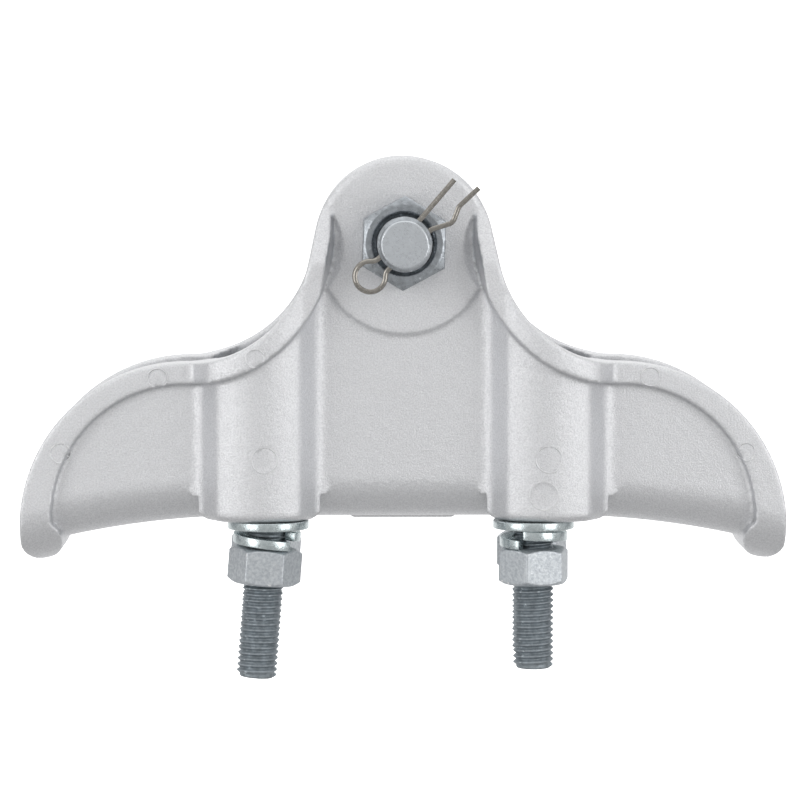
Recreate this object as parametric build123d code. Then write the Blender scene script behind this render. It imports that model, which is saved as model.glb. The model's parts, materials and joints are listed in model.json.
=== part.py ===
from build123d import *
import math
import os

# Conductor suspension clamp. Lengths are in millimetres.
# Origin on the axis of the suspension bolt, X along the conductor,
# Y across the clamp (the nut side is -Y), Z up.

# Hull outline seen from the front
ear_radius = 26.4
ear_centre_z = -1.0
flank_length = 10.2
neck_z = 2.0
neck_radius = 37.3
neck_x = math.sqrt((ear_radius + neck_radius) ** 2 + flank_length ** 2 - (neck_z - ear_centre_z) ** 2)
wing_radius = 48.9
wing_top_z = neck_z - neck_radius
lip_radius = 6.2
lip_x = neck_x + wing_radius - lip_radius
lip_fall = 4.2
lip_z = wing_top_z - wing_radius - lip_fall
half_length = lip_x + lip_radius
belly_z = -82.0
belly_flat_x = 45.0
belly_curve_radius = 258.0

# Hull section
slot_half = 12.0
wall = 8.0
panel_y = slot_half + wall
belly_corner_radius = 13.0
floor_thickness = 7.0
groove_radius = slot_half
conductor_z = belly_z + floor_thickness + groove_radius
mouth_flare = 4.0
mouth_flare_length = 19.0
ear_pad_raise = 1.0
ear_pad_margin = 1.4
ear_pad_y = panel_y + ear_pad_raise
ear_pad_radius = ear_radius - ear_pad_margin
ear_pad_z = ear_centre_z - ear_pad_raise
ear_round = 2.0
gate_length = 31.0
gate_width = 7.0
gate_depth = 1.2

# Rim bead along the upper edge of the wings
rim_raise = 3.5
rim_width_neck = 6.3
rim_width_tip = 9.3
rim_start_z = 10.0
rim_ramp_height = 16.0

# Where the bead stands beside an ear pad its wall leans back and the pad falls away
beside_top_z = 9.5
beside_low_z = -15.0
bead_lean = 1.6
valley_width = 3.8
valley_depth = 1.5

# U-bolts
u_bolt_x = 39.0
rod_radius = 6.0
leg_clearance = 0.5
leg_hole_radius = rod_radius + leg_clearance
leg_hole_length = 16.2
leg_hole_wall = 1.0
leg_y = slot_half + leg_hole_wall + leg_hole_radius
thread_pitch = 1.75
thread_depth = 0.95
thread_length = 44.0
stud_chamfer = 1.2
left_stud_below_hull = 46.9
right_stud_below_hull = 44.2
left_lean = 4.5
left_slip = 1.3
left_turn = 0.9
right_slip = 0.25
right_turn = -2.2

# Fasteners below the bosses
washer_radius = 12.0
washer_thickness = 2.5
washer_clearance = 0.6
washer_hole_radius = rod_radius + washer_clearance
washer_round = 0.4
spring_clearance = 0.4
spring_inner_radius = rod_radius + spring_clearance
spring_outer_radius = 10.0
spring_thickness = 2.8
spring_height = 5.7
spring_gap_degrees = 8.0
nut_flats = 19.0
nut_height = 10.8
thread_clearance = 0.05
nut_bore_radius = rod_radius + thread_clearance
nut_sink = 0.6
spring_top_z = belly_z - washer_thickness
nut_top_z = spring_top_z - spring_height

# Bolt bosses and the pockets the U-bolts stand in
boss_inner_reach = 13.8
boss_outer_reach = 21.0
boss_inner_x = u_bolt_x - boss_inner_reach
boss_outer_x = u_bolt_x + boss_outer_reach
boss_front_y = leg_y + washer_radius
boss_bulge = 3.4
boss_shoulder = 5.2
boss_round = 5.0
boss_foot_round = 2.5
boss_shoulder_y = boss_front_y - boss_bulge
rim_ramp_depth = boss_shoulder_y + rim_raise - ear_pad_y
pocket_inner_wall = 2.8
pocket_outer_wall = 3.0
pocket_inner_taper = 0.5
pocket_outer_taper = 6.0
pocket_inner_round = 6.0
pocket_outer_round = 3.5
pocket_front_y = leg_y + leg_hole_radius
pocket_floor_z = conductor_z

# Keeper over the conductor
running_gap = 0.3
keeper_seat = 5.5
bow_inner_radius = leg_y - rod_radius
bow_z = conductor_z + groove_radius + keeper_seat - bow_inner_radius
keeper_side_gap = 0.4
keeper_half_width = slot_half - keeper_side_gap
keeper_overhang = 18.0
keeper_half_length = u_bolt_x + keeper_overhang
keeper_crown_cover = 1.8
keeper_crown_radius = bow_inner_radius + keeper_crown_cover
keeper_side_rise = 6.0
keeper_side_z = conductor_z + keeper_side_rise
keeper_flare = 2.5
keeper_flare_length = 10.0

# Suspension bolt with its nut and split pin
bolt_radius = 8.0
bolt_clearance = 0.4
bolt_hole_radius = bolt_radius + bolt_clearance
bolt_flats = 24.0
bolt_head_height = 10.0
bolt_pitch = 2.0
bolt_thread_depth = 1.08
bolt_thread_length = 15.0
bolt_end_chamfer = 0.9
bolt_nut_height = 13.0
bolt_nut_bore_radius = bolt_radius + thread_clearance
bolt_nut_sink = 1.35
bolt_nut_turn = 1.6
bolt_nut_face_y = -ear_pad_y - bolt_nut_height
cotter_angle = 43.0
cotter_wire_radius = 0.9
cotter_half_gap = 2.0
cotter_clearance = 0.1
cotter_hole_radius = cotter_half_gap + cotter_wire_radius + cotter_clearance
cotter_setback = 6.2
cotter_y = bolt_nut_face_y - cotter_setback
bolt_tip_length = 6.3
bolt_end_y = cotter_y - bolt_tip_length
cotter_loop_radius = 4.3
cotter_loop_gap = 5.6
cotter_neck_radius = 3.0
cotter_hump_start = 0.6
cotter_hump_peak = 6.4
cotter_hump_end = 10.8
cotter_hump_drop = 2.8
cotter_tip_drop = 0.6
cotter_long_leg = 18.7
cotter_short_leg = 15.2
cotter_spread = 1.7
cotter_bend_radius = 2.4
cotter_splay_radius = 6.0

front_view = Plane.XZ
reach = half_length + 8.0
upright = (Align.CENTER, Align.CENTER, Align.MIN)
hanging = (Align.CENTER, Align.CENTER, Align.MAX)


def polar(centre, radius, degrees):
    angle = math.radians(degrees)
    return (centre[0] + radius * math.cos(angle), centre[1] + radius * math.sin(angle))


def both_ends(shape):
    return shape + mirror(shape, about=Plane.YZ)


def both_sides(shape):
    return shape + mirror(shape, about=Plane.XZ)


def belly_height(x):
    run = x - belly_flat_x
    return belly_z - belly_curve_radius + math.sqrt(belly_curve_radius ** 2 - run ** 2)


# Outline of one half of the hull, ear to wing tip
def half_outline():
    ear_centre = (0, ear_centre_z)
    neck_centre = (neck_x, neck_z)
    wing_centre = (neck_x, wing_top_z - wing_radius)
    lean = math.degrees(math.acos((ear_radius + neck_radius) / math.dist(ear_centre, neck_centre)))
    lean += math.degrees(math.atan2(neck_z - ear_centre_z, neck_x))
    ear_top = (0, ear_centre_z + ear_radius)
    ear_end = polar(ear_centre, ear_radius, lean)
    neck_start = polar(neck_centre, neck_radius, lean + 180)
    neck_low = polar(neck_centre, neck_radius, 270)
    wing_side = polar(wing_centre, wing_radius, 0)
    belly_end = (lip_x, belly_height(lip_x))
    belly_mid_x = (belly_flat_x + lip_x) / 2
    edges = [
        ThreePointArc(ear_top, polar(ear_centre, ear_radius, (lean + 90) / 2), ear_end),
        Line(ear_end, neck_start),
        ThreePointArc(neck_start, polar(neck_centre, neck_radius, (lean + 450) / 2), neck_low),
        ThreePointArc(neck_low, polar(wing_centre, wing_radius, 45), wing_side),
        Line(wing_side, (half_length, lip_z)),
        Line((half_length, lip_z), belly_end),
        ThreePointArc(belly_end, (belly_mid_x, belly_height(belly_mid_x)), (belly_flat_x, belly_z)),
        Line((belly_flat_x, belly_z), (0, belly_z)),
        Line((0, belly_z), ear_top),
    ]
    return make_face(Curve() + edges)


# Distance from the middle to the bead beside an ear, less a gap
def beside_bead(z, gap):
    inner_neck = neck_radius + rim_width_neck
    return neck_x - math.sqrt(inner_neck ** 2 - (z - neck_z) ** 2) - gap


# Everything inside the rim bead, seen from the front
def half_inside():
    inner_neck = neck_radius + rim_width_neck
    inner_wing = wing_radius - rim_width_tip
    neck_centre = (neck_x, neck_z)
    wing_centre = (neck_x, neck_z - inner_neck - inner_wing)
    neck_start = (beside_bead(rim_start_z, 0), rim_start_z)
    neck_low = polar(neck_centre, inner_neck, 270)
    wing_side = polar(wing_centre, inner_wing, 0)
    edges = [
        Line((0, rim_start_z), neck_start),
        ThreePointArc(neck_start, polar(neck_centre, inner_neck, 225), neck_low),
        ThreePointArc(neck_low, polar(wing_centre, inner_wing, 45), wing_side),
        Line(wing_side, (wing_side[0], -2 * reach)),
        Line((wing_side[0], -2 * reach), (0, -2 * reach)),
        Line((0, -2 * reach), (0, rim_start_z)),
    ]
    return make_face(Curve() + edges)


# Plan of one hollow boss, outer surface
def boss_plan():
    shoulder_in = (boss_inner_x + boss_shoulder, boss_shoulder_y)
    shoulder_out = (boss_outer_x - boss_shoulder, boss_shoulder_y)
    middle = ((boss_inner_x + boss_outer_x) / 2, boss_front_y)
    skirt = 2 * boss_round
    edges = [
        Line((boss_inner_x - skirt, 0), (boss_inner_x - skirt, panel_y)),
        Line((boss_inner_x - skirt, panel_y), (boss_inner_x, panel_y)),
        Line((boss_inner_x, panel_y), shoulder_in),
        ThreePointArc(shoulder_in, middle, shoulder_out),
        Line(shoulder_out, (boss_outer_x, panel_y)),
        Line((boss_outer_x, panel_y), (boss_outer_x + skirt, panel_y)),
        Line((boss_outer_x + skirt, panel_y), (boss_outer_x + skirt, 0)),
        Line((boss_outer_x + skirt, 0), (boss_inner_x - skirt, 0)),
    ]
    plan = make_face(Curve() + edges)
    corners = plan.vertices().filter_by(lambda v: v.Y > panel_y - 1)
    corners = corners.filter_by(lambda v: boss_inner_x - 1 < v.X < boss_outer_x + 1)
    return fillet(corners, boss_round)


# Plan of one pocket, open to the slot
def pocket_plan():
    inner_x = boss_inner_x + pocket_inner_wall
    outer_x = boss_outer_x - pocket_outer_wall
    corners = [
        (inner_x, 0),
        (inner_x, slot_half),
        (inner_x + pocket_inner_taper, pocket_front_y),
        (outer_x - pocket_outer_taper, pocket_front_y),
        (outer_x, slot_half),
        (outer_x, 0),
    ]
    plan = make_face(Polyline(*corners, close=True))
    for x, radius in ((corners[2][0], pocket_inner_round), (corners[3][0], pocket_outer_round)):
        corner = plan.vertices().sort_by_distance((x, pocket_front_y))[0]
        plan = fillet(corner, radius)
    return plan


# Sweep of a section along a path parallel to the underside
def along_belly(section, rise):
    radius = belly_curve_radius + rise
    left = (-belly_flat_x, belly_z - belly_curve_radius)
    right = (belly_flat_x, belly_z - belly_curve_radius)
    turn = math.degrees(math.asin((reach - belly_flat_x) / radius))
    start = polar(left, radius, 90 + turn)
    flat = Line((-belly_flat_x, belly_z + rise), (belly_flat_x, belly_z + rise))
    path = front_view * (Curve() + [
        ThreePointArc(start, polar(left, radius, 90 + turn / 2), flat @ 0),
        flat,
        ThreePointArc(flat @ 1, polar(right, radius, 90 - turn / 2), polar(right, radius, 90 - turn)),
    ])
    first = path.edges().sort_by(Axis.X)[0]
    begin = Plane(origin=first @ 0, x_dir=(0, 1, 0), z_dir=first % 0)
    return sweep(begin * section, path=path)


# Solid with a rounded belly, its underside below the hull's by drop
def belly_block(half_width, corner_radius, drop):
    section = Rectangle(2 * half_width, 2 * reach, align=(Align.CENTER, Align.MIN))
    section = fillet(section.vertices().sort_by(Axis.Y)[:2], corner_radius)
    return along_belly(section, -drop)


# Half-round floor with upright sides
def trough(radius, height):
    return Circle(radius) + Rectangle(2 * radius, height, align=(Align.CENTER, Align.MIN))


def hull_shell():
    outline = both_ends(half_outline())
    body = extrude(front_view * outline, panel_y, both=True) & belly_block(panel_y, belly_corner_radius, 0)
    pad = Pos(0, ear_pad_z) * Circle(ear_pad_radius)
    pad += Pos(0, rim_start_z) * Rectangle(2 * reach, reach, align=(Align.CENTER, Align.MIN))
    pad = extrude(front_view * (outline & pad), ear_pad_y, both=True)
    boss = Pos(0, 0, belly_z) * extrude(boss_plan(), reach)
    foot = boss.faces().sort_by(Axis.Z)[0].edges().filter_by(lambda e: e.center().Y > panel_y)
    boss = fillet(foot, boss_foot_round)
    boss -= Pos(0, 0, belly_z) * Box(2 * reach, 2 * panel_y, belly_corner_radius, align=upright)
    boss = both_ends(both_sides(boss)) & extrude(front_view * outline, reach, both=True)
    return body + pad + boss


# Bead that stands out from the wings' upper edges and the lips
def rim():
    band = half_outline() - half_inside()
    band -= Pos(0, rim_start_z) * Rectangle(2 * reach, reach, align=(Align.CENTER, Align.MIN))
    band += Pos(lip_x, lip_z) * Circle(lip_radius)
    band = both_ends(extrude(front_view * band, reach, both=True))
    plan = Rectangle(2 * reach, 2 * panel_y) + both_ends(both_sides(boss_plan()))
    cover = offset(plan, rim_raise)
    cover += Rectangle(2 * (boss_inner_x + 2 * boss_shoulder), 2 * (boss_shoulder_y + rim_raise))
    band &= Pos(0, 0, -reach) * extrude(cover, 2 * reach)
    lip_drop = belly_height(lip_x) - lip_z + lip_radius
    lower = belly_block(panel_y + rim_raise, belly_corner_radius + rim_raise, lip_drop)
    upper = Pos(0, 0, wing_top_z - rim_width_tip) * Box(2 * reach, 2 * reach, reach, align=upright)
    band &= lower + upper
    ramp_z = rim_start_z - rim_ramp_height
    ramp = make_face(Polyline(
        (ear_pad_y, rim_start_z), (ear_pad_y + rim_ramp_depth, ramp_z),
        (reach, ramp_z), (reach, reach), (ear_pad_y, reach), close=True
    ))
    band -= both_sides(extrude(Plane.YZ * ramp, reach, both=True))
    return band - along_bead(ear_pad_y, boss_front_y + rim_raise, 0.2, -0.1, -bead_lean)


# Lens along the bead beside an ear pad, between a fixed gap and one that changes with Y
def along_bead(first_y, last_y, fixed_gap, first_gap, last_gap):
    top = (beside_bead(beside_top_z, 0), beside_top_z)
    low = (beside_bead(beside_low_z, 0), beside_low_z)
    mid_z = (beside_top_z + beside_low_z) / 2
    faces = []
    for y, gap in ((first_y, first_gap), (last_y, last_gap)):
        lens = Curve() + [
            ThreePointArc(top, (beside_bead(mid_z, fixed_gap), mid_z), low),
            ThreePointArc(low, (beside_bead(mid_z, gap), mid_z), top),
        ]
        faces.append(front_view.offset(y) * make_face(lens))
    return both_ends(both_sides(loft(faces, ruled=True)))


# Groove for the conductor, with belled mouths
def conductor_channel():
    rise = conductor_z - belly_z
    groove = along_belly(trough(groove_radius, reach / 2), rise)
    slot = Pos(0, 0, conductor_z) * Box(2 * reach, 2 * slot_half, reach, align=upright)
    bell = []
    for x, flare in ((half_length - mouth_flare_length, 0), (half_length, mouth_flare)):
        section = Plane(origin=(x, 0, belly_height(x) + rise), x_dir=(0, 1, 0), z_dir=(1, 0, 0))
        bell.append(section * trough(groove_radius + flare, reach))
    return groove + slot + both_ends(loft(bell, ruled=True))


# What lies outside the rounded ears
def ear_trim():
    ear = Cylinder(ear_radius, 2 * ear_pad_y)
    ear = Rot(90, 0, 0) * fillet(ear.edges().filter_by(GeomType.CIRCLE), ear_round)
    above = Pos(0, 0, rim_start_z) * Box(2 * reach, 2 * reach, reach, align=upright)
    return above - Pos(0, 0, ear_centre_z) * ear


# Slot for one U-bolt leg, long enough for it to lean
def leg_hole():
    plan = SlotOverall(leg_hole_length, 2 * leg_hole_radius)
    return extrude(plan, reach, both=True)


def hull():
    valley = along_bead(ear_pad_y - valley_depth, ear_pad_y + 0.1, -1, 0.3, valley_width)
    casting = hull_shell() - valley + rim() - ear_trim()
    casting -= conductor_channel()
    casting -= Pos(0, 0, pocket_floor_z) * extrude(both_ends(both_sides(pocket_plan())), reach)
    for x in (-u_bolt_x, u_bolt_x):
        for y in (-leg_y, leg_y):
            casting -= Pos(x, y, pocket_floor_z - reach / 2) * leg_hole()
    casting -= Rot(90, 0, 0) * Cylinder(bolt_hole_radius, 2 * reach)
    return casting + Pos(0, 0, belly_z) * Box(gate_length, gate_width, 2 * gate_depth)


# Ring-grooved stud standing on its end at the origin
def stud(radius, pitch, depth, length, end_chamfer):
    crest = pitch / 8
    flank = depth * math.tan(math.radians(30))
    points = [(0, 0), (radius - end_chamfer, 0), (radius, end_chamfer)]
    z = end_chamfer + crest
    while z + pitch < length:
        points.append((radius, z))
        points.append((radius - depth, z + flank))
        points.append((radius - depth, z + pitch - crest - flank))
        points.append((radius, z + pitch - crest))
        z += pitch
    points.append((radius, length))
    points.append((0, length))
    return revolve(Plane.XZ * make_face(Polyline(*points, close=True)), Axis.Z)


# Where a loose U-bolt stands: turned about Z and leaning about Y in the hull's underside
def stand(x, lean, turn):
    return Pos(x, 0, belly_z) * Rot(0, 0, turn) * Rot(0, lean, 0) * Pos(0, 0, -belly_z)


left_stand = stand(-u_bolt_x - left_slip, left_lean, left_turn)
right_stand = stand(u_bolt_x + right_slip, 0, right_turn)


def u_bolt(place, stud_end_z):
    bow = Rot(0, 90, 0) * Torus(leg_y, rod_radius)
    bow &= Box(4 * rod_radius, 4 * leg_y, 2 * leg_y, align=upright)
    leg = stud(rod_radius, thread_pitch, thread_depth, thread_length, stud_chamfer)
    plain_length = bow_z - stud_end_z - thread_length
    leg += Pos(0, 0, thread_length) * Cylinder(rod_radius, plain_length, align=upright)
    leg = Pos(0, leg_y, stud_end_z) * leg
    return place * (Pos(0, 0, bow_z) * bow + both_sides(leg))


def keeper():
    crown = Pos(0, bow_z) * Circle(keeper_crown_radius)
    sides = Pos(0, keeper_side_z) * Rectangle(2 * keeper_half_width, reach, align=(Align.CENTER, Align.MIN))
    groove = Pos(0, conductor_z) * Circle(groove_radius)
    bar = extrude(Plane.YZ * ((crown & sides) - groove), keeper_half_length, both=True)
    bell = Cone(groove_radius, groove_radius + keeper_flare, keeper_flare_length, align=hanging)
    bar -= both_ends(Pos(keeper_half_length, 0, conductor_z) * (Rot(0, 90, 0) * bell))
    seat = Rot(0, 90, 0) * Torus(leg_y, rod_radius + running_gap)
    slack = leg_hole_length / 2 - leg_hole_radius
    for place in (left_stand, right_stand):
        for shift in (-slack, 0, slack):
            bar -= Pos(shift, 0, 0) * place * Pos(0, 0, bow_z) * seat
    return bar


def flat_washer(place, y):
    foot = (place * Pos(0, y, belly_z)).position
    ring = Cylinder(washer_radius, washer_thickness) - Cylinder(washer_hole_radius, washer_thickness)
    rounded = ring.edges().filter_by(lambda e: e.length > math.pi * (washer_radius + washer_hole_radius))
    return Pos(foot.X, foot.Y, belly_z - washer_thickness / 2) * fillet(rounded, washer_round)


# Left-hand coil of one turn, its lower end beside the gap
def spring_washer(place, y, gap_angle):
    middle = (spring_outer_radius + spring_inner_radius) / 2
    rise = spring_height - spring_thickness
    turn = 360 - spring_gap_degrees
    coil = Helix(rise * 360 / turn, rise, middle, lefthand=True)
    section = Rectangle(spring_outer_radius - spring_inner_radius, spring_thickness)
    section = fillet(section.vertices(), 0.3)
    start = Plane(origin=coil @ 0, x_dir=(1, 0, 0), z_dir=coil % 0)
    ring = sweep(start * section, path=coil, is_frenet=True)
    low_z = spring_top_z - spring_height + spring_thickness / 2
    return place * Pos(0, y, low_z) * Rot(0, 0, gap_angle - spring_gap_degrees / 2) * ring


# Hexagon with both faces chamfered, standing on the origin
def hexagon(flats, height):
    face_radius = 0.47 * flats
    corner_radius = flats / math.sqrt(3)
    slope = (corner_radius - face_radius) * math.tan(math.radians(30))
    envelope = revolve(Plane.XZ * make_face(Polyline(
        (0, 0), (face_radius, 0), (corner_radius, slope), (corner_radius, height - slope),
        (face_radius, height), (0, height), close=True
    )), Axis.Z)
    return envelope & extrude(RegularPolygon(flats / 2, 6, major_radius=False), height)


def nut(flats, height, bore_radius, sink):
    body = hexagon(flats, height) - Cylinder(bore_radius, 3 * height)
    body -= Cone(bore_radius + sink, bore_radius, sink, align=upright)
    return body - Pos(0, 0, height) * Cone(bore_radius, bore_radius + sink, sink, align=hanging)


def hex_nut(place, y, turn):
    body = nut(nut_flats, nut_height, nut_bore_radius, nut_sink)
    return place * Pos(0, y, nut_top_z - nut_height) * Rot(0, 0, turn) * body


# Bolt built standing on its drilled end, then laid along Y
def suspension_bolt():
    thread_z = bolt_nut_face_y - bolt_end_y - (bolt_thread_length - bolt_nut_height)
    plain_z = thread_z + bolt_thread_length
    head_z = ear_pad_y - bolt_end_y
    end = Cylinder(bolt_radius, thread_z, align=upright)
    body = chamfer(end.edges().sort_by(Axis.Z)[0], bolt_end_chamfer)
    thread = stud(bolt_radius, bolt_pitch, bolt_thread_depth, bolt_thread_length, bolt_thread_depth)
    body += Pos(0, 0, thread_z) * thread
    body += Pos(0, 0, plain_z) * Cylinder(bolt_radius, head_z - plain_z, align=upright)
    body += Pos(0, 0, head_z) * hexagon(bolt_flats, bolt_head_height)
    body = Pos(0, bolt_end_y, 0) * (Rot(-90, 0, 0) * body)
    hole = Rot(0, 90 - cotter_angle, 0) * Cylinder(cotter_hole_radius, 4 * bolt_radius)
    return body - Pos(0, cotter_y, 0) * hole


def suspension_nut():
    body = nut(bolt_flats, bolt_nut_height, bolt_nut_bore_radius, bolt_nut_sink)
    body = Rot(0, 0, 30 + bolt_nut_turn) * body
    return Pos(0, bolt_nut_face_y, 0) * (Rot(-90, 0, 0) * body)


# Wire folded into a loop, one leg straight and one humped
def split_pin():
    gap = cotter_half_gap
    tip_gap = gap + cotter_tip_drop
    loop_centre = (-bolt_radius - cotter_loop_gap, 0)
    neck_reach = cotter_neck_radius + cotter_loop_radius
    opening = math.degrees(math.asin((gap + cotter_neck_radius) / neck_reach))
    neck = polar(loop_centre, neck_reach, opening)[0]
    low = polar(loop_centre, cotter_loop_radius, -opening)
    high = polar(loop_centre, cotter_loop_radius, opening)
    humped = FilletPolyline(
        (bolt_radius + cotter_long_leg, -tip_gap),
        (bolt_radius + cotter_hump_end, -tip_gap),
        (bolt_radius + cotter_hump_peak, -gap - cotter_hump_drop),
        (bolt_radius + cotter_hump_start, -gap),
        (neck, -gap),
        radius=cotter_bend_radius,
    )
    straight = FilletPolyline(
        (neck, gap), (bolt_radius, gap), (bolt_radius + cotter_short_leg, gap + cotter_spread),
        radius=cotter_splay_radius,
    )
    wire = Curve() + [
        humped,
        TangentArc((neck, -gap), low, tangent=(-1, 0)),
        ThreePointArc(low, polar(loop_centre, cotter_loop_radius, 180), high),
        TangentArc((neck, gap), high, tangent=(-1, 0)),
        straight,
    ]
    lean = polar((0, 0), 1, cotter_angle)
    flat = Plane(origin=(0, cotter_y, 0), x_dir=(lean[0], 0, lean[1]), z_dir=(0, -1, 0))
    tip = flat.from_local_coords(humped @ 0)
    ahead = flat.from_local_coords(humped @ 0 + humped % 0)
    return sweep(Plane(origin=tip, z_dir=ahead - tip) * Circle(cotter_wire_radius), path=flat * wire)


parts = {
    "hull": hull(),
    "keeper": keeper(),
    "suspension_bolt": suspension_bolt(),
    "suspension_nut": suspension_nut(),
    "split_pin": split_pin(),
}
# Each place has the azimuth of its spring washer's gap and the turn of its nut
sides = (
    ("left", left_stand, left_stud_below_hull, (-40, 0), (60, 12)),
    ("right", right_stand, right_stud_below_hull, (-113, 19), (140, 12)),
)
for side, place, below, front_turns, rear_turns in sides:
    parts[f"u_bolt_{side}"] = u_bolt(place, belly_z - below)
    for end, y, turns in (("front", -leg_y, front_turns), ("rear", leg_y, rear_turns)):
        parts[f"flat_washer_{end}_{side}"] = flat_washer(place, y)
        parts[f"spring_washer_{end}_{side}"] = spring_washer(place, y, turns[0])
        parts[f"hex_nut_{end}_{side}"] = hex_nut(place, y, turns[1])

os.makedirs("parts", exist_ok=True)
for name, shape in parts.items():
    print(name, shape.is_valid, round(shape.volume))
    export_step(shape, f"parts/{name}.step")
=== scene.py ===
# %% [markdown]
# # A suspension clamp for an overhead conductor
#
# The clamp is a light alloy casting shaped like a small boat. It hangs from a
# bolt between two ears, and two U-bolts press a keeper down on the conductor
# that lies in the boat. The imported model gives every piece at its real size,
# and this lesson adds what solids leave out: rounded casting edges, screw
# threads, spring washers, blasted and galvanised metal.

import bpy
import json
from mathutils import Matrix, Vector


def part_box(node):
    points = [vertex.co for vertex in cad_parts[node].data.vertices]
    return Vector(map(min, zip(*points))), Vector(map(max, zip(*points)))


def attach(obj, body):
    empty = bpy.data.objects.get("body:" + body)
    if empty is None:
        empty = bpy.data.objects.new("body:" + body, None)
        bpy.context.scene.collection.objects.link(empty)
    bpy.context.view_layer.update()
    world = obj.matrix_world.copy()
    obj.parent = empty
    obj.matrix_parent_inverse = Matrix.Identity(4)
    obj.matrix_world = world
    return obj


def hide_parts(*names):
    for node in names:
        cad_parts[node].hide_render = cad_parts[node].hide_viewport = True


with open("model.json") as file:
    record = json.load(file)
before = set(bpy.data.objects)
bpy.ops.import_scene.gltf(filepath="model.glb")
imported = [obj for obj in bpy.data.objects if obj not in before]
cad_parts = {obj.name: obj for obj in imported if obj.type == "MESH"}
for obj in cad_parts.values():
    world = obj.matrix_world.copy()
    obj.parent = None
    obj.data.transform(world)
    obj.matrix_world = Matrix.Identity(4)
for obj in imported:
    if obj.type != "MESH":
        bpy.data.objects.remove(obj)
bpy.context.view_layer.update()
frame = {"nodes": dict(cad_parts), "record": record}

# %% Modules and units
import json
import math

import bmesh
import bpy
from mathutils import Matrix, Vector
from mathutils.bvhtree import BVHTree

mm = 0.001
turn = 2 * math.pi
upright = Vector((0, 0, 1))

# %% [markdown]
# ## The camera
#
# The photograph was taken from about a metre away with a long lens, a little
# above the clamp's middle and a little to its left. A far camera with a long
# lens keeps the near and far walls almost the same size, which is how
# catalogue pictures of hardware are made.

# %% Place the camera
eye = Vector((-16, -1050, 30)) * mm
target = Vector((-0.75, 0, -48)) * mm
lens = bpy.data.cameras.new("photo_camera")
lens.lens = 157.5
lens.sensor_width = 36
lens.clip_start = 0.05
lens.clip_end = 50
camera = bpy.data.objects.new("photo_camera", lens)
camera.location = eye
camera.rotation_euler = (target - eye).to_track_quat("-Z", "Y").to_euler()
bpy.context.collection.objects.link(camera)
bpy.context.scene.camera = camera
slope = math.degrees(math.atan2(eye.z - target.z, target.y - eye.y))
print("camera looks down", round(slope, 2), "degrees")

# %% [markdown]
# ## Floor and light
#
# Grey metal shows only what it mirrors, so the light is the larger half of
# this picture. Two tall softboxes stand to the left and right in front of the
# clamp and a wide one hangs above. The room itself gives the rest: a little
# brighter above than below, so that undersides stay grey, and brighter again
# behind the clamp, which lights the edges that turn away. The paper bowl
# around the set is pure white to the camera only, and no metal mirrors it.


# %% A helper for softboxes
def softbox(name, place, aim, size, power):
    lamp = bpy.data.lights.new(name, "AREA")
    lamp.shape = "RECTANGLE"
    lamp.size, lamp.size_y = size
    lamp.energy = power
    box = bpy.data.objects.new(name, lamp)
    box.location = place
    box.rotation_euler = (Vector(aim) - Vector(place)).to_track_quat("-Z", "Y").to_euler()
    box.visible_camera = False
    bpy.context.collection.objects.link(box)


# %% Light the set
middle = (0, 0, -0.05)
tall_size = (0.7, 0.9)
wide_size = (1.6, 1.2)
softbox("left_softbox", (-0.88, -0.79, 0.05), middle, tall_size, 3.6)
softbox("right_softbox", (0.88, -0.79, 0.05), middle, tall_size, 3.6)
softbox("top_softbox", (0, 0, 1.0), middle, wide_size, 3.4)
print("middle of the light, in metres:", middle)

# %% Let the room glow
world = bpy.data.worlds.new("studio_air")
bpy.context.scene.world = world
world.use_nodes = True
room = world.node_tree
air = room.nodes["Background"]
air.inputs["Color"].default_value = (1, 1, 1, 1)
direction = room.nodes.new("ShaderNodeTexCoord")
parts = room.nodes.new("ShaderNodeSeparateXYZ")
room.links.new(direction.outputs["Generated"], parts.inputs["Vector"])


def fade(axis, low, high, at_low, at_high):
    level = room.nodes.new("ShaderNodeMapRange")
    level.interpolation_type = "SMOOTHSTEP"
    level.inputs["From Min"].default_value = low
    level.inputs["From Max"].default_value = high
    level.inputs["To Min"].default_value = at_low
    level.inputs["To Max"].default_value = at_high
    room.links.new(parts.outputs[axis], level.inputs["Value"])
    return level.outputs["Result"]


glow = room.nodes.new("ShaderNodeMath")
glow.operation = "ADD"
room.links.new(fade("Z", -0.5, 0.7, 0.52, 0.72), glow.inputs[0])
room.links.new(fade("Y", 0.3, 1.0, 0.0, 0.5), glow.inputs[1])
room.links.new(glow.outputs["Value"], air.inputs["Strength"])
bpy.context.scene.view_settings.view_transform = "Standard"


# %% A bowl of white paper
def paper_bowl():
    bm = bmesh.new()
    floor_z, wall, rise = -0.30, 4.0, 1.5
    points = [bm.verts.new((0, 0, floor_z)), bm.verts.new((wall - rise, 0, floor_z))]
    bm.edges.new(points)
    hollow = {"cent": (wall - rise, 0, floor_z + rise), "axis": (0, -1, 0), "angle": turn / 4, "steps": 16}
    bmesh.ops.spin(bm, geom=[points[1]], **hollow)
    round_trip = {"cent": (0, 0, 0), "axis": upright, "angle": turn, "steps": 64, "use_merge": True}
    bmesh.ops.spin(bm, geom=bm.verts[:] + bm.edges[:], **round_trip)
    bmesh.ops.remove_doubles(bm, verts=bm.verts, dist=mm)
    bmesh.ops.recalc_face_normals(bm, faces=bm.faces)
    mesh = bpy.data.meshes.new("paper_bowl")
    bm.to_mesh(mesh)
    bm.free()
    mesh.shade_smooth()
    bowl = bpy.data.objects.new("paper_bowl", mesh)
    bowl.visible_glossy = False
    bowl.visible_diffuse = False
    bowl.visible_transmission = False
    bowl.visible_shadow = False
    bpy.context.collection.objects.link(bowl)
    return bowl


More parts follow.
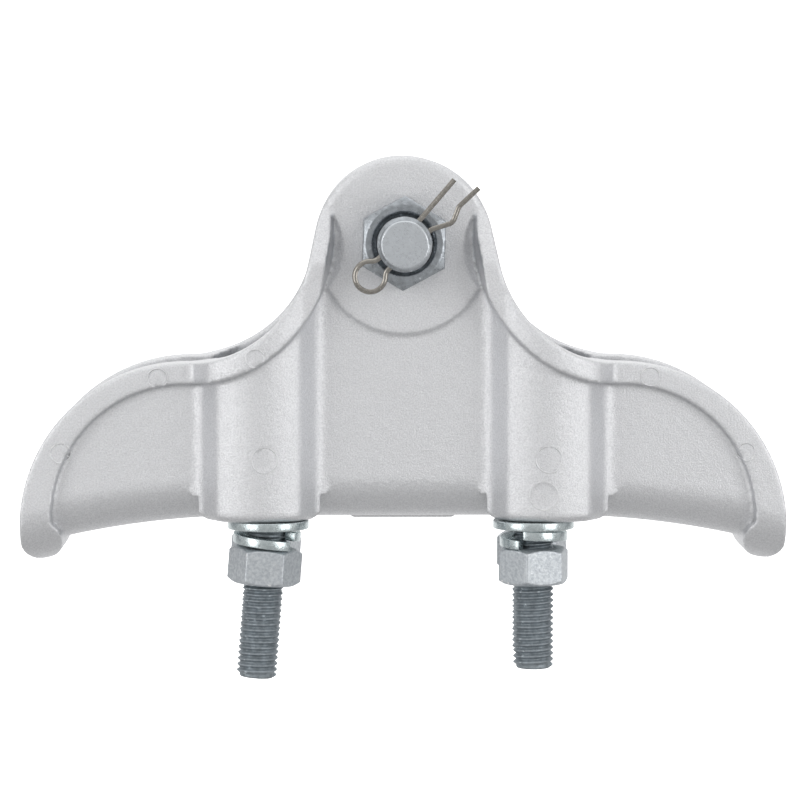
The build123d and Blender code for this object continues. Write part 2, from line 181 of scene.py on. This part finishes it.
paper = bpy.data.materials.new("white_paper")
paper.use_nodes = True
sheet = paper.node_tree.nodes["Principled BSDF"]
sheet.inputs["Base Color"].default_value = (0.9, 0.9, 0.9, 1)
sheet.inputs["Roughness"].default_value = 0.9
sheet.inputs["Emission Color"].default_value = (1, 1, 1, 1)
sheet.inputs["Emission Strength"].default_value = 1.0
paper_bowl().data.materials.append(paper)

# %% [markdown]
# ## Metal finishes
#
# Every finish starts from the same shader, fully metallic, and differs in
# three things: its colour, how rough it is, and the small unevenness that a
# bump node turns into light and dark. The patterns are read from object
# coordinates, so they keep their real scale in millimetres on every piece.
# A blend by the surface's pointiness goes over the colour: outer edges go brighter,
# partly wear from handling and partly painted highlight, and hollows get painted shade.


# %% Helpers for materials
# A colour mix node has several sockets of one name, so these go by number.
mix_level, mix_from, mix_to, mix_out = 0, 6, 7, 2
# Pointiness is near 0.5 on flat ground, more on an edge and less in a hollow.
edge_begins, edge_ends = 0.53, 0.62


def add(finish, kind, **sockets):
    node = finish.node_tree.nodes.new("ShaderNode" + kind)
    for name, value in sockets.items():
        node.inputs[name.replace("_", " ")].default_value = value
    return node


def join(finish, node, output, other, socket):
    finish.node_tree.links.new(node.outputs[output], other.inputs[socket])


def metal(name, colour, roughness):
    finish = bpy.data.materials.new(name)
    finish.use_nodes = True
    shader = finish.node_tree.nodes["Principled BSDF"]
    shader.inputs["Base Color"].default_value = (*colour, 1)
    shader.inputs["Metallic"].default_value = 1
    shader.inputs["Roughness"].default_value = roughness
    return finish, shader


def grain(finish, size, detail=2.0, roughness=0.5):
    place = add(finish, "TexCoord")
    noise = add(finish, "TexNoise", Scale=1 / (size * mm), Detail=detail, Roughness=roughness)
    join(finish, place, "Object", noise, "Vector")
    return noise


def spread(finish, source, output, low, high, to_low, to_high):
    level = add(finish, "MapRange", From_Min=low, From_Max=high, To_Min=to_low, To_Max=to_high)
    join(finish, source, output, level, "Value")
    return level


def mixed(finish, level, from_socket, colour):
    mix = finish.node_tree.nodes.new("ShaderNodeMix")
    mix.data_type = "RGBA"
    mix.inputs[mix_to].default_value = (*colour, 1)
    finish.node_tree.links.new(level.outputs["Result"], mix.inputs[mix_level])
    base = finish.node_tree.nodes["Principled BSDF"].inputs["Base Color"]
    if from_socket:
        finish.node_tree.links.new(from_socket, mix.inputs[mix_from])
    finish.node_tree.links.new(mix.outputs[mix_out], base)
    return mix


def tint(finish, level, dark, light):
    mixed(finish, level, None, light).inputs[mix_from].default_value = (*dark, 1)


def blend(finish, level, colour):
    base = finish.node_tree.nodes["Principled BSDF"].inputs["Base Color"]
    mixed(finish, level, base.links[0].from_socket, colour)


def edges_of(finish, low, high):
    shape = finish.node_tree.nodes.new("ShaderNodeNewGeometry")
    return spread(finish, shape, "Pointiness", low, high, 0, 1)


def bump(finish, shader, source, output, height, under=None):
    node = add(finish, "Bump", Strength=1.0, Distance=height * mm)
    join(finish, source, output, node, "Height")
    if under:
        join(finish, under, "Normal", node, "Normal")
    join(finish, node, "Normal", shader, "Normal")
    return node


# %% Blasted casting
def blasted(name, dark, light, roughness):
    finish, shader = metal(name, light, roughness)
    grit = grain(finish, 0.5, detail=4, roughness=0.7)
    tint(finish, spread(finish, grit, "Fac", 0.32, 0.68, 0, 1), dark, light)
    # Outer edges go brighter: partly wear, partly a painted highlight.
    blend(finish, edges_of(finish, edge_begins, edge_ends), (0.90, 0.90, 0.90))
    # Hollows go darker: painted shade.
    blend(finish, edges_of(finish, 0.48, 0.42), [0.62 * v for v in dark])
    polish = spread(finish, grit, "Fac", 0.3, 0.7, roughness + 0.08, roughness - 0.08)
    join(finish, polish, "Result", shader, "Roughness")
    hills = bump(finish, shader, grain(finish, 2.4), "Fac", 0.12)
    bump(finish, shader, grit, "Fac", 0.17, hills)
    return finish


hull_cast = blasted("blasted_casting", (0.63, 0.635, 0.65), (0.81, 0.815, 0.83), 0.45)
keeper_cast = blasted("keeper_casting", (0.60, 0.60, 0.61), (0.70, 0.70, 0.71), 0.52)


# %% Hot-dip galvanised steel
def galvanised(name, dark, light, roughness, patch, edge=None, skin_height=0.08):
    finish, shader = metal(name, light, roughness)
    clouds = grain(finish, patch, detail=4, roughness=0.6)
    tint(finish, spread(finish, clouds, "Fac", 0.38, 0.64, 0, 1), dark, light)
    if edge:
        # Outer edges and thread crests take the edge colour: partly wear, partly a painted highlight.
        blend(finish, edges_of(finish, edge_begins, edge_ends), edge)
        # Hollows such as thread grooves go darker: painted shade.
        blend(finish, edges_of(finish, 0.47, 0.38), [0.45 * v for v in dark])
    skin = grain(finish, 0.6, detail=3)
    polish = spread(finish, skin, "Fac", 0.3, 0.7, roughness - 0.1, roughness + 0.1)
    join(finish, polish, "Result", shader, "Roughness")
    bump(finish, shader, skin, "Fac", skin_height)
    return finish


# Edge colours: partly wear, partly a painted highlight on edges and crests.
stud_wear_and_highlight = (0.60, 0.65, 0.68)
nut_wear_and_highlight = (0.86, 0.87, 0.87)
stud_zinc = galvanised("galvanised_stud", (0.26, 0.29, 0.31), (0.36, 0.40, 0.43), 0.56, 1.5, stud_wear_and_highlight)
nut_zinc = galvanised("galvanised_nut", (0.50, 0.53, 0.56), (0.66, 0.69, 0.71), 0.5, 0.9, nut_wear_and_highlight)

# %% [markdown]
# The bolt's end face is coloured brighter than its thread. The blend runs along
# the bolt's length over its last millimetre.

# %% Electroplated zinc and stainless wire
washer_dark, washer_light = (0.53, 0.59, 0.60), (0.64, 0.70, 0.71)
washer_zinc = galvanised("bright_zinc", washer_dark, washer_light, 0.24, 1.0, skin_height=0.04)
# Edge colour for the bolt: partly wear, partly a painted highlight.
bolt_wear_and_highlight = (0.66, 0.69, 0.72)
# The bolt's end face gets a brighter colour over its last millimetre.
bolt_end_colour = (0.62, 0.65, 0.68)
end_colour_starts, end_colour_full = -0.0455, -0.0462
bolt_zinc = galvanised("zinc_bolt", (0.32, 0.34, 0.36), (0.44, 0.47, 0.50), 0.34, 2.0, bolt_wear_and_highlight)
along = add(bolt_zinc, "SeparateXYZ")
join(bolt_zinc, add(bolt_zinc, "TexCoord"), "Object", along, "Vector")
blend(bolt_zinc, spread(bolt_zinc, along, "Y", end_colour_starts, end_colour_full, 0, 1), bolt_end_colour)
wire_dark, wire_light = (0.30, 0.285, 0.26), (0.38, 0.36, 0.33)
wire_steel = galvanised("stainless_wire", wire_dark, wire_light, 0.2, 1.0, skin_height=0.01)

# %% [markdown]
# ## Common bench work
#
# A few helpers serve every piece. One turns a mesh into an object that stands
# for its solid, rides on the same body and takes its finish. One rounds a
# piece off the way sand, blasting and molten zinc do, with a voxel remesh and
# a few rounds of smoothing. One lathes a closed outline, and one bevels its
# sharp edges.

# %% Pieces and their solids
bodies = frame["record"]["behaviour"]["bodies"]
body_of = {node: body for body, nodes in bodies.items() for node in nodes}


def new_piece(name, bm):
    mesh = bpy.data.meshes.new(name)
    bm.to_mesh(mesh)
    bm.free()
    mesh.shade_smooth()
    mesh.set_sharp_from_angle(angle=math.radians(40))
    piece = bpy.data.objects.new(name, mesh)
    bpy.context.collection.objects.link(piece)
    return piece


def stand_for(piece, node, finish):
    piece.data.materials.clear()
    piece.data.materials.append(finish)
    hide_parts(node)
    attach(piece, body_of[node])
    lowest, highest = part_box(node)
    points = [v.co for v in piece.data.vertices]
    low = Vector([min(p[k] for p in points) for k in range(3)])
    high = Vector([max(p[k] for p in points) for k in range(3)])
    off = max(max(abs(low[k] - lowest[k]), abs(high[k] - highest[k])) for k in range(3))
    print(piece.name, len(piece.data.polygons), "faces, box off by", round(off / mm, 2), "mm")


# %% Soften a piece
def settle(piece):
    graph = bpy.context.evaluated_depsgraph_get()
    done = bpy.data.meshes.new_from_object(piece.evaluated_get(graph))
    piece.modifiers.clear()
    piece.data = done


def soften(piece, voxel, rounds, most_faces):
    remesh = piece.modifiers.new("voxels", "REMESH")
    remesh.mode = "VOXEL"
    remesh.voxel_size = voxel * mm
    smooth = piece.modifiers.new("soften", "SMOOTH")
    smooth.factor = 0.5
    smooth.iterations = rounds
    settle(piece)
    count = 2 * len(piece.data.polygons)
    if count > most_faces:
        thin = piece.modifiers.new("thin", "DECIMATE")
        thin.ratio = most_faces / count
        settle(piece)
    piece.data.shade_smooth()
    return piece


def copy_of(node, name):
    bm = bmesh.new()
    bm.from_mesh(frame["nodes"][node].data)
    bmesh.ops.remove_doubles(bm, verts=bm.verts, dist=0.01 * mm)
    return new_piece(name, bm)


# %% [markdown]
# A spin returns its faces in an order that changes from run to run, and a
# boolean works through faces in the order it finds them. The lathe therefore
# sorts its faces, and takes out the loose edge that an outline along the axis
# leaves behind. The same piece then comes off the lathe every time.


# %% A lathe
def put_in_order(bm):
    bm.verts.index_update()
    ranked = sorted(bm.faces, key=lambda face: sorted(v.index for v in face.verts))
    rank = {face: number for number, face in enumerate(ranked)}
    bm.faces.sort(key=lambda face: rank[face])


def lathe(bm, outline, steps):
    ring = [bm.verts.new((radius * mm, 0, height * mm)) for radius, height in outline]
    edges = [bm.edges.new(pair) for pair in zip(ring, ring[1:] + ring[:1])]
    cut = {"cent": (0, 0, 0), "axis": upright, "angle": turn, "steps": steps, "use_merge": True}
    bmesh.ops.spin(bm, geom=ring + edges, **cut)
    bmesh.ops.remove_doubles(bm, verts=bm.verts, dist=0.001 * mm)
    bmesh.ops.dissolve_degenerate(bm, edges=bm.edges, dist=0.001 * mm)
    bmesh.ops.recalc_face_normals(bm, faces=bm.faces)
    loose = [edge for edge in bm.edges if not edge.link_faces]
    bmesh.ops.delete(bm, geom=loose, context="EDGES")
    put_in_order(bm)


def round_edges(bm, width, segments, sharper_than=50):
    limit = math.radians(sharper_than)
    edges = [e for e in bm.edges if len(e.link_faces) == 2 and e.calc_face_angle() > limit]
    shape = {"offset": width * mm, "segments": segments, "affect": "EDGES", "profile": 0.5, "material": -1}
    bmesh.ops.bevel(bm, geom=edges, **shape)


# %% [markdown]
# ## Where things stand
#
# The four bosses end at one level, and every flat washer seats there. Each
# U-bolt stands at a place along the hull, leans by some degrees and is turned
# by some degrees, because both hang loose in their slotted holes. The spring
# washers and nuts on its legs take the same stand.

# %% The stands
belly_z = -82.0
stands = {"left": (-40.3, 4.5, 0.9), "right": (39.25, 0.0, -2.2)}
print("stands, as place in mm, lean and turn in degrees:", stands)


def spot(x, y, z, degrees=0.0):
    return Matrix.Translation(Vector((x, y, z)) * mm) @ Matrix.Rotation(math.radians(degrees), 4, "Z")


def stand(side):
    x, lean, twist = stands[side]
    leaning = Matrix.Rotation(math.radians(lean), 4, "Y")
    return spot(x, 0, belly_z, twist) @ leaning @ spot(0, 0, -belly_z)


# %% [markdown]
# ## The cast hull
#
# The hull comes out of a die with drafted walls and blended corners, and is
# blasted after that, so none of its edges is sharp. Modelling every blend by
# hand would be long work. A voxel remesh of the solid followed by smoothing
# rounds them all by about a millimetre, like the blasting does.

# %% Make the hull
hull = soften(copy_of("hull", "hull_casting"), 0.6, 7, 190000)
stand_for(hull, "hull", hull_cast)
hull_surface = BVHTree.FromObject(hull, bpy.context.evaluated_depsgraph_get())

# %% [markdown]
# ## Ejector marks
#
# Pins push the casting out of its die and leave flat round prints, each with
# a thin raised outline. Each print is a lathed button whose heights are
# counted from the hull's surface, found by looking at the hull from the front.


# %% Print the marks
def lay_on_front(bm, x, z):
    bmesh.ops.rotate(bm, verts=bm.verts, cent=(0, 0, 0), matrix=Matrix.Rotation(turn / 4, 3, "X"))
    bmesh.ops.translate(bm, verts=bm.verts, vec=Vector((x, 0, z)) * mm)
    for vertex in bm.verts:
        start = Vector((vertex.co.x, -0.1, vertex.co.z))
        surface = hull_surface.ray_cast(start, Vector((0, 1, 0)))[0]
        vertex.co.y += surface.y


def ejector_mark(name, x, z, diameter, lip):
    edge = diameter / 2
    buried, flat = -0.4, 0.03
    bm = bmesh.new()
    outline = [(0, buried), (edge, buried), (edge, 0), (edge - 0.12, lip), (edge - 0.3, lip)]
    outline += [(edge - 0.5, flat), (edge * 0.6, flat), (edge * 0.3, flat), (0, flat)]
    lathe(bm, outline, 40)
    lay_on_front(bm, x, z)
    mark = new_piece(name, bm)
    mark.data.materials.append(hull_cast)
    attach(mark, "hull")


# Each row is x, z, diameter and height of the lip, in millimetres.
marks = [
    (-101, -61.9, 6.3, 0.2),
    (-72.3, -39.8, 6.2, 0.28),
    (-43.4, -33.4, 6.0, 0.2),
    (72.6, -39.5, 6.0, 0.26),
    (101, -61.7, 5.7, 0.24),
    (-40.8, -63.4, 8.0, 0.2),
    (42.4, -63.2, 8.2, 0.2),
    (40.9, -73.9, 8.7, 0.12),
]
for number, (x, z, diameter, lip) in enumerate(marks, 1):
    ejector_mark(f"ejector_mark_{number}", x, z, diameter, lip)
print("ejector marks:", len(marks))

# %% [markdown]
# ## The keeper
#
# The keeper is a second small casting, a saddle that the U-bolts press on the
# conductor. Its finish is the hull's, a little duller.

# %% Make the keeper
keeper = soften(copy_of("keeper", "keeper_saddle"), 0.5, 5, 60000)
stand_for(keeper, "keeper", keeper_cast)

# %% [markdown]
# ## Wire and rod
#
# A U-bolt and a split pin are both bent from straight stock. The bench below
# does the same: it holds the end face of a rod, and each stroke draws it
# further or bends it round a centre. This is the quickest way to a tube that
# stays round in its bends and closed at its ends.


# %% A bending bench
class Bench:
    def __init__(self, bm, face, start, along, axis):
        self.bm = bm
        self.face = face
        self.end = Vector(start)
        self.along = Vector(along)
        self.axis = Vector(axis)

    def draw(self, length, width=1.0):
        out = bmesh.ops.extrude_face_region(self.bm, geom=[self.face])
        ring = [v for v in out["geom"] if isinstance(v, bmesh.types.BMVert)]
        step = self.along * length * mm
        bmesh.ops.translate(self.bm, verts=ring, vec=step)
        self.end += step
        to_end = Matrix.Translation(-self.end)
        bmesh.ops.scale(self.bm, verts=ring, vec=(width, width, 1), space=to_end)
        self.face = next(f for f in out["geom"] if isinstance(f, bmesh.types.BMFace))

    def bend(self, radius, degrees, step=6):
        side = self.axis.cross(self.along) * math.copysign(radius * mm, degrees)
        centre = self.end + side
        angle = math.radians(degrees)
        held = [self.face] + list(self.face.edges) + list(self.face.verts)
        stroke = {"cent": centre, "axis": self.axis, "angle": angle}
        stroke["steps"] = max(2, round(abs(degrees) / step))
        out = bmesh.ops.spin(self.bm, geom=held, **stroke)
        swing = Matrix.Rotation(angle, 3, self.axis)
        self.end = centre - swing @ side
        self.along = swing @ self.along
        self.face = next(f for f in out["geom_last"] if isinstance(f, bmesh.types.BMFace))


# %% A screw thread
def screw_thread(bm, radius, pitch, depth, length, start, run_out):
    sunk = 0.05
    root = radius - depth - sunk
    section = [(root, 0), (radius, 7 / 16), (radius, 9 / 16), (root, 1)]
    corners = [bm.verts.new((r * mm, 0, (start + h * pitch) * mm)) for r, h in section]
    face = bm.faces.new(corners)
    steps_per_turn = 40
    turns = length / pitch - 1
    coil = {"cent": (0, 0, 0), "axis": upright, "dvec": upright * pitch / steps_per_turn * mm}
    coil["angle"] = turns * turn
    coil["steps"] = round(turns * steps_per_turn)
    before = set(bm.verts) - set(corners)
    bmesh.ops.spin(bm, geom=[face] + list(face.edges) + list(face.verts), **coil)
    for vertex in set(bm.verts) - before:
        height = vertex.co.z / mm - start
        reach = vertex.co.xy.length / mm
        most = min(radius, root + 0.1 + height, root + (length - height) * depth / run_out)
        if reach > most:
            vertex.co.x *= max(most, root) / reach
            vertex.co.y *= max(most, root) / reach


# %% [markdown]
# ## The U-bolts
#
# Each is a 12 mm rod, threaded 44 mm up both legs and bent round a half
# circle. The thread is a ridge wound up the leg by a spin that also climbs
# 1.75 mm each turn. A remesh then fuses ridge and rod and rounds the crests a
# little, as the zinc bath does. The left one hangs lower than the right one.

# %% Make the U-bolts
leg_y = 19.5
bow_z = -59.0
rod_radius = 6.0
tip_radius = 4.8
tip_height = 0.4
thread_pitch = 1.75
thread_depth = 0.95
thread_length = 44.0
shoulder = 2.0
ridge_fade = 2.5


def threaded_leg(bm, end_z):
    ring = bmesh.ops.create_circle(bm, cap_ends=True, segments=48, radius=tip_radius * mm)
    face = next(iter(ring["verts"][0].link_faces))
    bmesh.ops.translate(bm, verts=ring["verts"], vec=(0, 0, end_z * mm))
    leg = Bench(bm, face, (0, 0, end_z * mm), (0, 0, 1), (-1, 0, 0))
    core = rod_radius - thread_depth
    leg.draw(tip_height, core / tip_radius)
    leg.draw(thread_length - tip_height - shoulder)
    leg.draw(shoulder, rod_radius / core)
    return leg


def u_bolt(side, end_z):
    bm = bmesh.new()
    leg = threaded_leg(bm, end_z)
    screw_thread(bm, rod_radius, thread_pitch, thread_depth, thread_length, end_z, ridge_fade)
    bmesh.ops.translate(bm, verts=bm.verts, vec=(0, -leg_y * mm, 0))
    leg.end.y -= leg_y * mm
    leg.draw(bow_z - end_z - thread_length)
    leg.bend(leg_y, 90)
    bmesh.ops.delete(bm, geom=[leg.face], context="FACES_ONLY")
    half = bmesh.ops.duplicate(bm, geom=bm.verts[:] + bm.edges[:] + bm.faces[:])["geom"]
    other = [v for v in half if isinstance(v, bmesh.types.BMVert)]
    bmesh.ops.rotate(bm, verts=other, cent=(0, 0, 0), matrix=Matrix.Rotation(turn / 2, 3, "Z"))
    bmesh.ops.remove_doubles(bm, verts=bm.verts, dist=0.01 * mm)
    bmesh.ops.recalc_face_normals(bm, faces=bm.faces)
    bm.transform(stand(side))
    bolt = soften(new_piece(f"u_bolt_{side}_rod", bm), 0.2, 1, 190000)
    stand_for(bolt, f"u_bolt_{side}", stud_zinc)


left_below, right_below = 46.9, 44.2
u_bolt("left", belly_z - left_below)
u_bolt("right", belly_z - right_below)

# %% [markdown]
# ## Flat and spring washers
#
# The flat washer is stamped from sheet: a lathed ring with its edges rounded.
# The spring washer is one turn of square wire wound left-handed. It is spun
# from its section with a small rise at each step, and its cut ends stay square.


# %% Make the washers
washer_hole, washer_edge, washer_thick = 6.6, 12.0, 2.5
coil_hole, coil_edge, wire_height = 6.4, 10.0, 2.8
coil_rise, coil_height = 2.9, 5.7
coil_degrees, coil_steps = 352, 88


def flat_washer(end, side, y):
    bm = bmesh.new()
    lower = [(washer_hole, 0), (washer_edge, 0)]
    upper = [(washer_edge, washer_thick), (washer_hole, washer_thick)]
    lathe(bm, lower + upper, 96)
    round_edges(bm, 0.35, 3)
    foot = stand(side) @ (Vector((0, y, belly_z)) * mm) / mm
    bm.transform(spot(foot.x, foot.y, belly_z - washer_thick))
    washer = new_piece(f"flat_washer_{end}_{side}_ring", bm)
    stand_for(washer, f"flat_washer_{end}_{side}", washer_zinc)


def spring_washer(end, side, y, gap):
    bm = bmesh.new()
    section = [(coil_hole, 0), (coil_edge, 0), (coil_edge, wire_height), (coil_hole, wire_height)]
    corners = [bm.verts.new((r * mm, 0, h * mm)) for r, h in section]
    face = bm.faces.new(corners)
    coil = {"cent": (0, 0, 0), "axis": -upright, "angle": math.radians(coil_degrees), "steps": coil_steps}
    coil["dvec"] = upright * coil_rise / coil_steps * mm
    bmesh.ops.spin(bm, geom=[face] + list(face.edges) + list(face.verts), **coil)
    bmesh.ops.recalc_face_normals(bm, faces=bm.faces)
    round_edges(bm, 0.3, 3)
    half_gap = (360 - coil_degrees) / 2
    bm.transform(stand(side) @ spot(0, y, belly_z - washer_thick - coil_height, gap - half_gap))
    washer = new_piece(f"spring_washer_{end}_{side}_coil", bm)
    stand_for(washer, f"spring_washer_{end}_{side}", washer_zinc)


# %% [markdown]
# ## Nuts
#
# A nut is a hexagon bar cut to length, bored, and turned to a cone at both
# faces. The same order is used here: a six-sided prism is crossed with a
# lathed ring that holds the bore and the two cones, and where they overlap is
# the nut. The cones run a little past the bar's ends, so that no two faces lie
# in one plane. The softening afterwards stands for the zinc that fills edges.


# %% A helper for hexagons
past_end = 0.2


def hexagon_bar(name, flats, height):
    bm = bmesh.new()
    bmesh.ops.create_circle(bm, cap_ends=True, segments=6, radius=flats / math.sqrt(3) * mm)
    bmesh.ops.rotate(bm, verts=bm.verts, cent=(0, 0, 0), matrix=Matrix.Rotation(turn / 4, 3, "Z"))
    out = bmesh.ops.extrude_face_region(bm, geom=bm.faces[:])
    top = [v for v in out["geom"] if isinstance(v, bmesh.types.BMVert)]
    bmesh.ops.translate(bm, verts=top, vec=(0, 0, height * mm))
    bmesh.ops.recalc_face_normals(bm, faces=bm.faces)
    put_in_order(bm)
    return new_piece(name, bm)


def turned(name, flats, height, inside):
    face = 0.47 * flats
    corner = flats / math.sqrt(3)
    cone = math.tan(math.radians(30))
    spare = 0.5
    wide = corner + spare
    low = (wide - face) * cone
    tip = face - past_end / cone
    outside = [(tip, -past_end), (wide, low), (wide, height - low), (tip, height + past_end)]
    bm = bmesh.new()
    lathe(bm, outside + inside, 96)
    ring = new_piece("turned_ring", bm)
    piece = hexagon_bar(name, flats, height)
    cross = piece.modifiers.new("turned", "BOOLEAN")
    cross.operation = "INTERSECT"
    cross.solver = "EXACT"
    cross.object = ring
    settle(piece)
    bpy.data.objects.remove(ring)
    return piece


def nut(name, flats, height, bore, sink):
    wide = bore + sink + past_end
    top = height + past_end
    inside = [(wide, top), (bore, height - sink), (bore, sink), (wide, -past_end)]
    return turned(name, flats, height, inside)


# %% Fit washers and nuts on the four legs
nut_flats, nut_height, nut_bore, nut_sink = 19.0, 10.8, 6.05, 0.6


def stack(end, side, y, gap, nut_turn):
    flat_washer(end, side, y)
    spring_washer(end, side, y, gap)
    piece = nut(f"hex_nut_{end}_{side}_zinc", nut_flats, nut_height, nut_bore, nut_sink)
    lowest = belly_z - washer_thick - coil_height - nut_height
    piece.data.transform(stand(side) @ spot(0, y, lowest, nut_turn))
    soften(piece, 0.25, 4, 24000)
    stand_for(piece, f"hex_nut_{end}_{side}", nut_zinc)


stack("front", "left", -leg_y, -40, 0)
stack("rear", "left", leg_y, 60, 12)
stack("front", "right", -leg_y, -113, 19)
stack("rear", "right", leg_y, 140, 12)

# %% [markdown]
# ## The suspension bolt
#
# The bolt the clamp hangs from runs through both ears. Its end is threaded,
# chamfered, coloured brighter and drilled for the split pin. It is turned upright
# on its end and then laid along Y.

# %% Make the bolt and its nut
bolt_end_y = -46.5
bolt_nut_y = -34.0
head_y = 21.0
bolt_radius, core_radius, chamfer_radius = 8.0, 7.0, 6.7
bolt_flats, head_height, bolt_nut_height = 24.0, 10.0, 13.0
bolt_thread, bolt_pitch, bolt_thread_depth = 26.0, 2.0, 1.08
cotter_y = -40.2
cotter_radius = 3.0
cotter_angle = 43.0


def lay_along_y(piece, start_y):
    piece.data.transform(spot(0, start_y, 0) @ Matrix.Rotation(-turn / 4, 4, "X"))


def drill(piece, radius, centre, degrees):
    bm = bmesh.new()
    rod = {"radius1": radius * mm, "radius2": radius * mm, "depth": 60 * mm}
    bmesh.ops.create_cone(bm, cap_ends=True, segments=64, **rod)
    tilt = Matrix.Rotation(math.radians(90 - degrees), 3, "Y")
    bmesh.ops.rotate(bm, verts=bm.verts, cent=(0, 0, 0), matrix=tilt)
    bmesh.ops.translate(bm, verts=bm.verts, vec=Vector(centre) * mm)
    bit = new_piece("drill_bit", bm)
    hole = piece.modifiers.new("hole", "BOOLEAN")
    hole.operation = "DIFFERENCE"
    hole.solver = "EXACT"
    hole.object = bit
    settle(piece)
    bpy.data.objects.remove(bit)
    piece.data.shade_smooth()
    return piece


def suspension_bolt():
    bm = bmesh.new()
    head_z = head_y - bolt_end_y
    top = head_z + 1
    outline = [(0, 0), (chamfer_radius, 0), (core_radius, 0.5), (core_radius, 25.0)]
    outline += [(bolt_radius, 26.5), (bolt_radius, top), (0, top)]
    lathe(bm, outline, 64)
    screw_thread(bm, bolt_radius, bolt_pitch, bolt_thread_depth, bolt_thread, 0.0, 3.0)
    bmesh.ops.recalc_face_normals(bm, faces=bm.faces)
    shank = new_piece("suspension_bolt_turned", bm)
    axis = [(0, head_height + past_end), (0, -past_end)]
    head = turned("bolt_head", bolt_flats, head_height, axis)
    head.data.transform(spot(0, 0, head_z))
    bm = bmesh.new()
    bm.from_mesh(shank.data)
    bm.from_mesh(head.data)
    bm.to_mesh(shank.data)
    bm.free()
    bpy.data.objects.remove(head)
    lay_along_y(shank, bolt_end_y)
    soften(shank, 0.22, 2, 90000)
    return drill(shank, cotter_radius, (0, cotter_y, 0), cotter_angle)


stand_for(suspension_bolt(), "suspension_bolt", bolt_zinc)
bolt_nut = nut("suspension_nut_zinc", bolt_flats, bolt_nut_height, 8.05, 1.35)
bolt_nut.data.transform(spot(0, 0, 0, 31.6))
lay_along_y(bolt_nut, bolt_nut_y)
soften(bolt_nut, 0.25, 3, 40000)
stand_for(bolt_nut, "suspension_nut", bolt_zinc)

# %% [markdown]
# ## The split pin
#
# Half-round wire is folded into a loop, and its two legs are pushed through
# the bolt together. One leg stays almost straight and one has a hump, so that
# the pin snaps in. Here it is bent on the bench from the humped leg's tip.


# %% Bend the split pin
wire_radius, wire_flat = 0.9, 0.6
leg_z = 2.0
throat_radius, loop_radius = 3.0, 4.3
loop_x = -13.6
fine_step = 4


def bend_through(wire, corners, radius):
    spent = 0
    heading = None
    for here, ahead in zip(corners, corners[1:]):
        run = Vector(ahead) - Vector(here)
        if heading:
            angle = -math.degrees(heading.angle_signed(run))
            cut = radius * math.tan(math.radians(abs(angle)) / 2)
            wire.draw(length - spent - cut)
            wire.bend(radius, angle)
            spent = cut
        heading, length = run, run.length
    wire.draw(length - spent)


def split_pin():
    bm = bmesh.new()
    ring = bmesh.ops.create_circle(bm, cap_ends=True, segments=24, radius=wire_radius * mm)
    for vertex in ring["verts"]:
        vertex.co.x = min(vertex.co.x, wire_flat * mm)
    lying = Matrix.Rotation(-turn / 4, 3, "Y")
    bmesh.ops.rotate(bm, verts=bm.verts, cent=(0, 0, 0), matrix=lying)
    tip = Vector((26.7, 0, -2.6)) * mm
    bmesh.ops.translate(bm, verts=bm.verts, vec=tip)
    wire = Bench(bm, bm.faces[:][0], tip, (-1, 0, 0), (0, -1, 0))
    opening = math.degrees(math.asin((leg_z + throat_radius) / (throat_radius + loop_radius)))
    neck = loop_x + (throat_radius + loop_radius) * math.cos(math.radians(opening))
    hump = [(26.7, -2.6), (18.8, -2.6), (14.4, -4.8), (8.6, -leg_z), (neck, -leg_z)]
    bend_through(wire, hump, 2.4)
    wire.bend(throat_radius, 90 - opening, fine_step)
    wire.bend(loop_radius, 2 * opening - 360, fine_step)
    wire.bend(throat_radius, 90 - opening, fine_step)
    bend_through(wire, [(neck, leg_z), (8.0, leg_z), (23.2, 3.7)], 6.0)
    tilt = Matrix.Rotation(math.radians(-cotter_angle), 3, "Y")
    bmesh.ops.rotate(bm, verts=bm.verts, cent=(0, 0, 0), matrix=tilt)
    bmesh.ops.translate(bm, verts=bm.verts, vec=(0, cotter_y * mm, 0))
    bmesh.ops.recalc_face_normals(bm, faces=bm.faces)
    return new_piece("split_pin_wire", bm)


stand_for(split_pin(), "split_pin", wire_steel)
